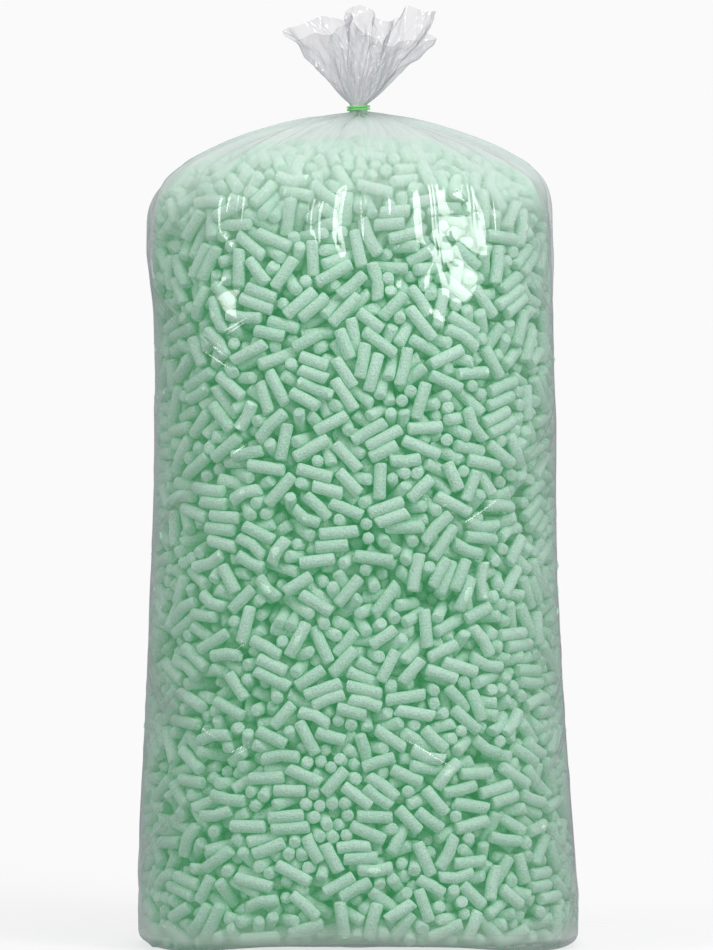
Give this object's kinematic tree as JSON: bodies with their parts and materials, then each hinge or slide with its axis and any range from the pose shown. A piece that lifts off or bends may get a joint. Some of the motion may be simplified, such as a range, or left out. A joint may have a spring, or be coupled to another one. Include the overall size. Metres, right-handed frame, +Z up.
{
  "type": "packing peanut bag",
  "caption": "Tall clear film bag filled with short pale-green foam cylinders, gathered and tied at the neck with its mouth flared open above the tie.",
  "frame": {"origin": "on the floor, under the middle of the bag's flat base", "axes": "+Z up the bag to the tied neck, +X to the right across the front, front faces -Y"},
  "size_m": [0.504, 0.4536, 1.0704],
  "materials": {
    "clear_film": "thin clear plastic film, glossy and wrinkled",
    "foam": "pale mint-green foam with a fine grain",
    "green_wire": "bright green plastic-coated wire"
  },
  "bodies": {
    "root": {"bag_film": "clear_film", "peanut_fill": "foam", "neck_tie": "green_wire", "loose_peanut_01": "foam", "loose_peanut_02": "foam", "loose_peanut_03": "foam", "loose_peanut_04": "foam", "loose_peanut_05": "foam", "loose_peanut_06": "foam", "loose_peanut_07": "foam", "loose_peanut_08": "foam", "loose_peanut_09": "foam", "loose_peanut_10": "foam", "loose_peanut_11": "foam", "loose_peanut_12": "foam", "loose_peanut_13": "foam", "loose_peanut_14": "foam", "loose_peanut_15": "foam", "loose_peanut_16": "foam", "loose_peanut_17": "foam", "loose_peanut_18": "foam", "loose_peanut_19": "foam", "loose_peanut_20": "foam", "loose_peanut_21": "foam", "loose_peanut_22": "foam", "loose_peanut_23": "foam", "loose_peanut_24": "foam", "loose_peanut_25": "foam", "loose_peanut_26": "foam", "loose_peanut_27": "foam", "loose_peanut_28": "foam", "loose_peanut_29": "foam", "loose_peanut_30": "foam", "loose_peanut_31": "foam", "loose_peanut_32": "foam", "loose_peanut_33": "foam", "loose_peanut_34": "foam", "loose_peanut_35": "foam", "loose_peanut_36": "foam"}
  },
  "joints": []
}
